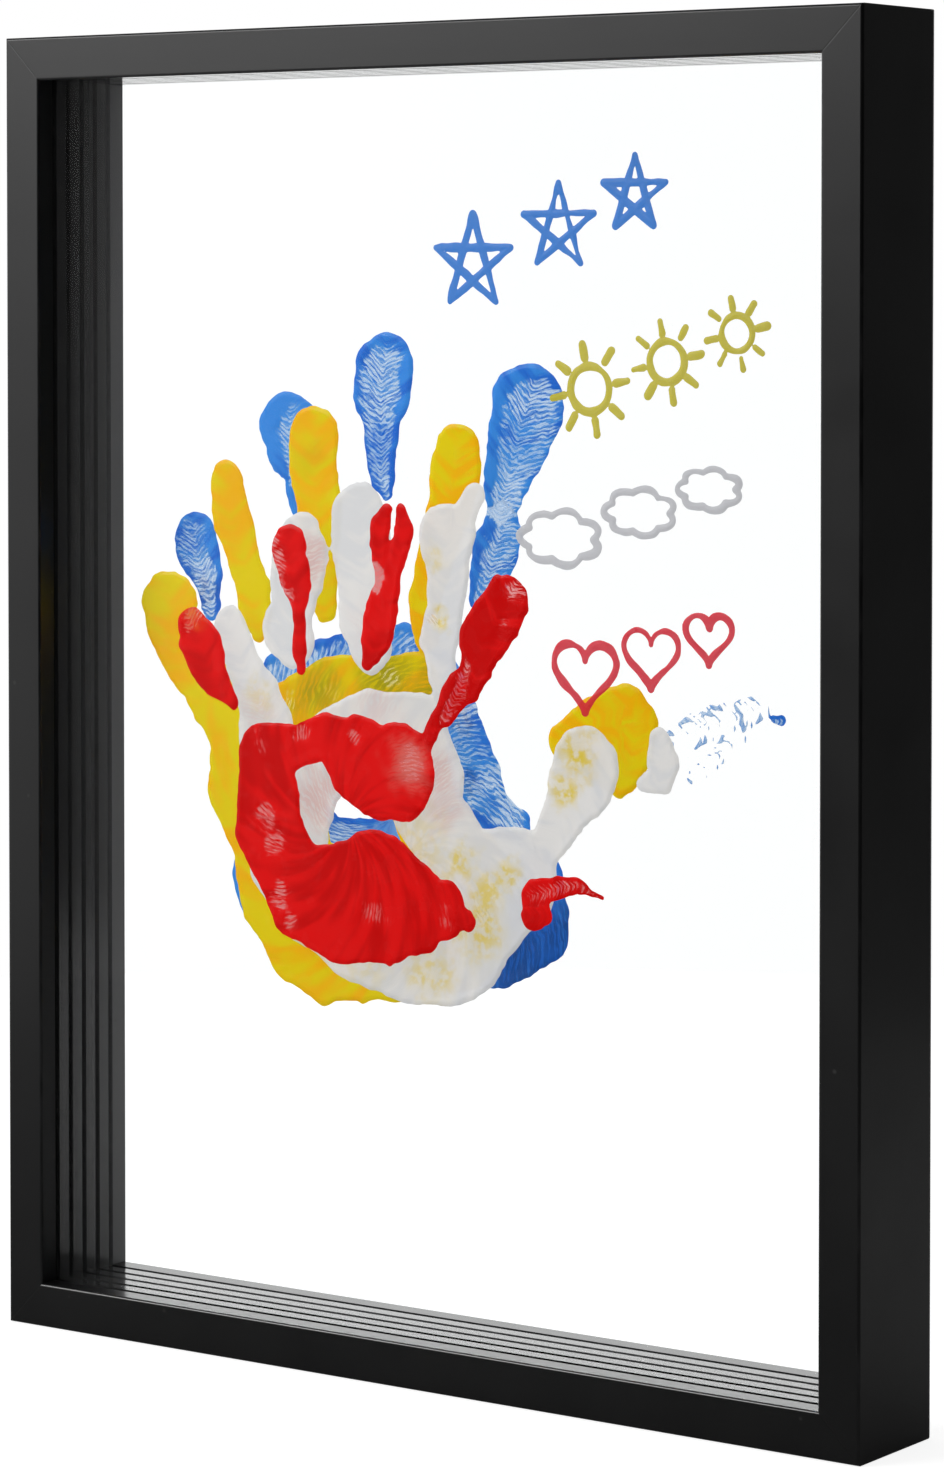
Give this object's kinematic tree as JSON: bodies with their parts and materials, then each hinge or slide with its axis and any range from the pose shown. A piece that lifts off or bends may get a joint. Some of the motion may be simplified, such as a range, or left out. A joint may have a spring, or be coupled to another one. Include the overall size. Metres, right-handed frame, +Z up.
{
  "type": "handprint display frame",
  "caption": "Deep black box frame with a stack of clear sheets held apart by spacers, each with a painted handprint; a screwed back frame closes it and the layers lift out of the back.",
  "frame": {"origin": "under the middle of the frame, on the surface it stands on", "axes": "+Z up, +Y from the front face to the back, +X to the right seen from the front"},
  "size_m": [0.3, 0.04, 0.39],
  "materials": {
    "black_wood": "satin black lacquer",
    "black_spacer": "satin black lacquer",
    "clear_acrylic": "clear, polished",
    "black_steel": "black zinc",
    "bright_steel": "bright",
    "red_paint": "thick acrylic paint",
    "white_paint": "thick acrylic paint",
    "yellow_paint": "thick acrylic paint",
    "blue_paint": "thick acrylic paint"
  },
  "bodies": {
    "frame": {"top_rail": "black_wood", "bottom_rail": "black_wood", "left_rail": "black_wood", "right_rail": "black_wood", "rail_v_nails": "bright_steel"},
    "cover": {"cover_sheet": "clear_acrylic"},
    "red_layer": {"red_sheet": "clear_acrylic", "red_handprint": "red_paint", "red_top_spacer": "black_spacer", "red_bottom_spacer": "black_spacer", "red_left_spacer": "black_spacer", "red_right_spacer": "black_spacer"},
    "white_layer": {"white_sheet": "clear_acrylic", "white_handprint": "white_paint", "white_top_spacer": "black_spacer", "white_bottom_spacer": "black_spacer", "white_left_spacer": "black_spacer", "white_right_spacer": "black_spacer"},
    "yellow_layer": {"yellow_sheet": "clear_acrylic", "yellow_handprint": "yellow_paint", "yellow_top_spacer": "black_spacer", "yellow_bottom_spacer": "black_spacer", "yellow_left_spacer": "black_spacer", "yellow_right_spacer": "black_spacer"},
    "blue_layer": {"blue_sheet": "clear_acrylic", "blue_handprint": "blue_paint", "blue_top_spacer": "black_spacer", "blue_bottom_spacer": "black_spacer", "blue_left_spacer": "black_spacer", "blue_right_spacer": "black_spacer"},
    "back_frame": {"top_back_strip": "black_wood", "bottom_back_strip": "black_wood", "left_back_strip": "black_wood", "right_back_strip": "black_wood", "back_v_nails": "bright_steel", "back_screws": "black_steel"}
  },
  "joints": [
    {"name": "cover_slide", "type": "slide", "parent": "frame", "child": "cover", "axis": [0, 1, 0], "range_m": [0, 0.05]},
    {"name": "red_layer_slide", "type": "slide", "parent": "cover", "child": "red_layer", "axis": [0, 1, 0], "range_m": [0, 0.05]},
    {"name": "white_layer_slide", "type": "slide", "parent": "red_layer", "child": "white_layer", "axis": [0, 1, 0], "range_m": [0, 0.05]},
    {"name": "yellow_layer_slide", "type": "slide", "parent": "white_layer", "child": "yellow_layer", "axis": [0, 1, 0], "range_m": [0, 0.05]},
    {"name": "blue_layer_slide", "type": "slide", "parent": "yellow_layer", "child": "blue_layer", "axis": [0, 1, 0], "range_m": [0, 0.05]},
    {"name": "back_frame_slide", "type": "slide", "parent": "blue_layer", "child": "back_frame", "axis": [0, 1, 0], "range_m": [0, 0.05]}
  ]
}
